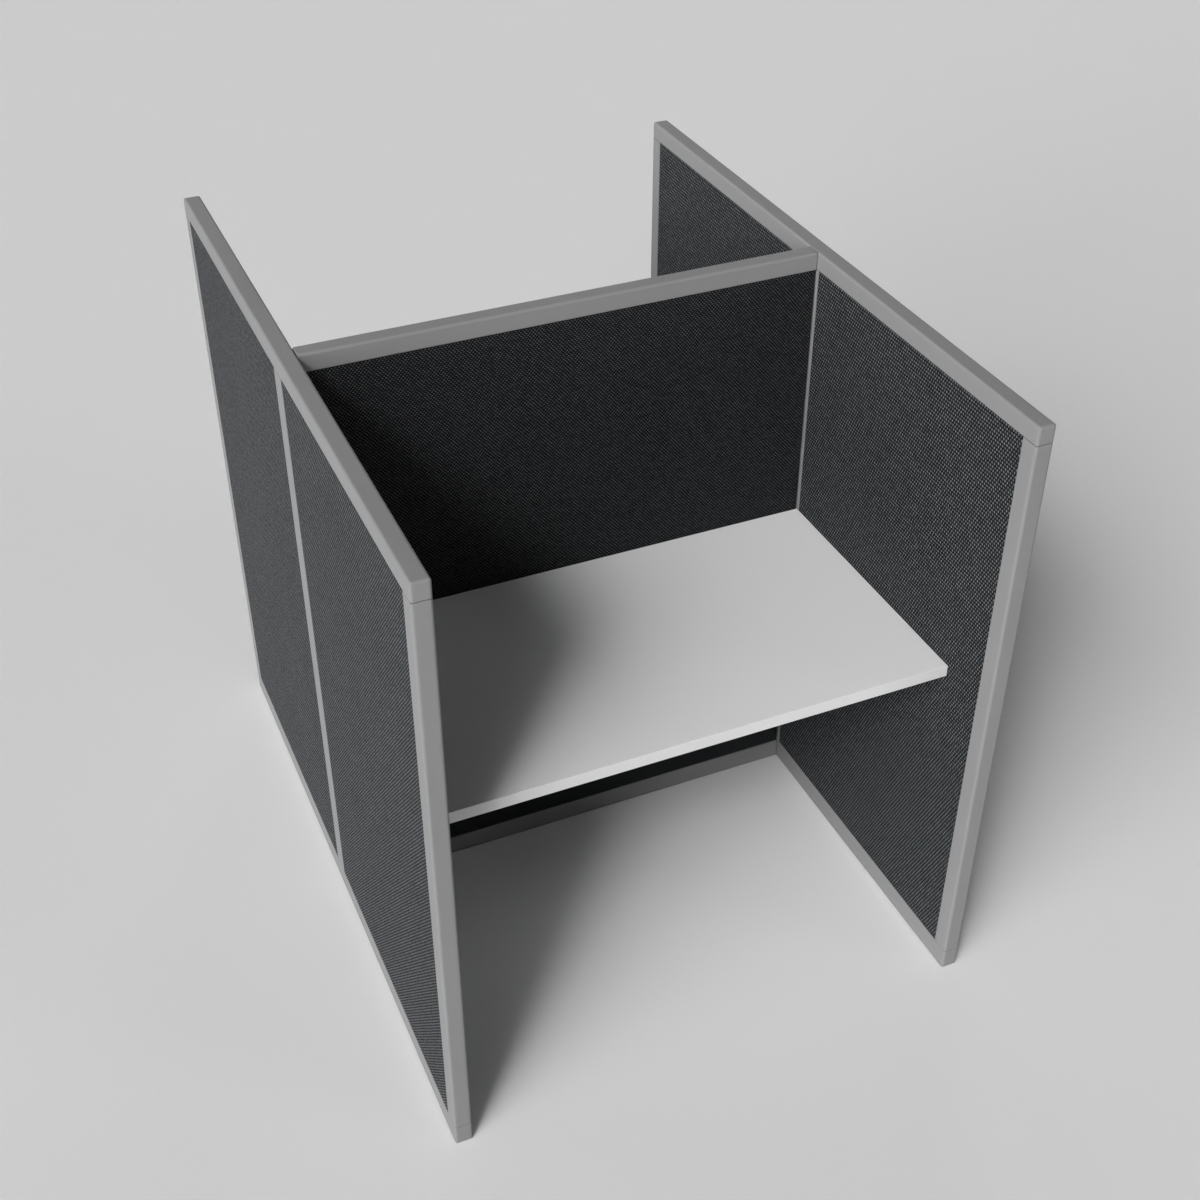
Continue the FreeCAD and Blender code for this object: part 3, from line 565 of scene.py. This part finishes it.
def skin(name, rings, places, material):
    """One object of the skinned rings, copied to each place."""
    points, faces = [], []
    for matrix in places:
        first = len(points)
        points += [matrix @ Vector(point) for ring in rings for point in ring]
        for low in range(first, first + TURN_STEPS * (len(rings) - 1), TURN_STEPS):
            for step in range(TURN_STEPS):
                after = (step + 1) % TURN_STEPS
                faces.append((low + step, low + after, low + TURN_STEPS + after, low + TURN_STEPS + step))
        last = first + TURN_STEPS * (len(rings) - 1)
        faces.append(tuple(reversed(range(first, first + TURN_STEPS))))
        faces.append(tuple(range(last, last + TURN_STEPS)))
    mesh = bpy.data.meshes.new(name)
    mesh.from_pydata(points, [], faces)
    mesh.materials.append(material)
    mesh.shade_smooth()
    mesh.set_sharp_from_angle(angle=SHARP)
    piece = bpy.data.objects.new(name, mesh)
    scene.collection.objects.link(piece)
    return piece


def make_glides(material):
    """Levelling glides: a chamfered hexagon foot on a threaded stud."""
    for name in nodes:
        if not name.endswith("_glide"):
            continue
        low, high = (Vector(corner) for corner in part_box(name))
        middle = (low + high) / 2
        rings = thread_rings(GLIDE_STUD_RADIUS, GLIDE_THREAD_DEPTH, GLIDE_PITCH,
                             high.z - low.z - GLIDE_FOOT_HEIGHT, GLIDE_TIP, GLIDE_TIP_SHARE)
        rings += hexagon_rings((high.x - low.x) / 2, 0, GLIDE_FOOT_HEIGHT)
        seat = Matrix.Translation((middle.x, middle.y, low.z + GLIDE_FOOT_HEIGHT))
        piece = skin(name + "_detail", rings, [seat @ Matrix.Rotation(math.pi, 4, "X")], material)
        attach(piece, name + "_body")
        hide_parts(name)


def screw_rings(length):
    """Rings of a self-tapping screw with a washer flange and a dished hexagon head."""
    rings = thread_rings(SCREW_RADIUS, SCREW_THREAD_DEPTH, SCREW_PITCH, length, SCREW_TIP, SCREW_TIP_SHARE)
    rings.append(circle(SCREW_FLANGE_RADIUS, 0))
    rings.append(circle(SCREW_FLANGE_RADIUS, SCREW_FLANGE_HEIGHT / 2))
    rings += hexagon_rings(SCREW_HEX_RADIUS, SCREW_FLANGE_HEIGHT, SCREW_HEAD_HEIGHT)
    wide, narrow = SCREW_DISH_SHARES
    rings.append(circle(SCREW_HEX_RADIUS * wide, SCREW_HEAD_HEIGHT))
    rings.append(circle(SCREW_HEX_RADIUS * narrow, SCREW_HEAD_HEIGHT - SCREW_DISH_DEPTH))
    return rings


def quarters(name):
    """Boxes of the four like pieces of a node, one in each quarter of its plan."""
    low, high = (Vector(corner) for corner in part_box(name))
    middle = (low + high) / 2
    corners = {}
    for vertex in nodes[name].data.vertices:
        corners.setdefault((vertex.co.x > middle.x, vertex.co.y > middle.y), []).append(vertex.co)
    for points in corners.values():
        yield (Vector([min(point[axis] for point in points) for axis in range(3)]),
               Vector([max(point[axis] for point in points) for axis in range(3)]))


def make_screws(material):
    """Screws through the support angles: four into the screens, four up into the board."""
    places = []
    for low, high in quarters("support_angle_screws"):
        middle, length = (low + high) / 2, high.x - low.x - SCREW_HEAD_HEIGHT
        inward = -1 if middle.x > 0 else 1
        seat = (middle.x + inward * (length - SCREW_HEAD_HEIGHT) / 2, middle.y, middle.z)
        places.append(Matrix.Translation(seat) @ Matrix.Rotation(inward * math.pi / 2, 4, "Y"))
    finish_screws("support_angle_screws", length, places, material)
    places = []
    for low, high in quarters("worksurface_screws"):
        middle, length = (low + high) / 2, high.z - low.z - SCREW_HEAD_HEIGHT
        seat = (middle.x, middle.y, low.z + SCREW_HEAD_HEIGHT)
        places.append(Matrix.Translation(seat) @ Matrix.Rotation(math.pi, 4, "X"))
    finish_screws("worksurface_screws", length, places, material)


def finish_screws(name, length, places, material):
    """Skin one group of screws and put it in the place of its CAD node."""
    piece = skin(name + "_detail", screw_rings(length), places, material)
    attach(piece, "frame")
    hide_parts(name)


# Stage

FLOOR_GREY = (0.77, 0.77, 0.77)
FLOOR_HALF = 120
BACKDROP_RADIUS = 115
BACKDROP_RINGS = 8
BACKDROP_SINK = 1
BACKDROP_LEVEL = 0.57


def make_floor():
    """Plain pale floor."""
    graph = Graph("floor", Metallic=0.0, Specular_IOR_Level=0.0, Roughness=1.0)
    graph.set(Base_Color=graph.tint(FLOOR_GREY, graph.vary(1.0, graph.noise(size=0.8), share=0.003)))
    mesh = bpy.data.meshes.new("floor")
    corners = [(x * FLOOR_HALF, y * FLOOR_HALF, 0) for x, y in ((-1, -1), (1, -1), (1, 1), (-1, 1))]
    mesh.from_pydata(corners, [], [(0, 1, 2, 3)])
    mesh.materials.append(graph.material)
    floor = bpy.data.objects.new("floor", mesh)
    scene.collection.objects.link(floor)


def make_backdrop():
    """Pale dome far away, which low views look at; it gives no light and stops none."""
    graph = Graph("backdrop", Base_Color=0.0, Specular_IOR_Level=0.0, Roughness=1.0, Emission_Color=1.0)
    graph.set(Emission_Strength=graph.vary(BACKDROP_LEVEL, graph.noise(size=60, detail=1), share=0.01))
    rings = []
    for step in range(BACKDROP_RINGS + 1):
        rise = math.pi / 2 * step / (BACKDROP_RINGS + 1)
        height = BACKDROP_RADIUS * math.sin(rise) - BACKDROP_SINK
        rings.append(circle(BACKDROP_RADIUS * math.cos(rise), height))
    backdrop = skin("backdrop", rings, [Matrix.Identity(4)], graph.material)
    backdrop.visible_diffuse = False
    backdrop.visible_glossy = False
    backdrop.visible_transmission = False
    backdrop.visible_shadow = False


make_camera()
make_lights()
make_floor()
make_backdrop()
materials = dress_nodes()
make_glides(materials["glide_steel"])
make_screws(materials["zinc_steel"])
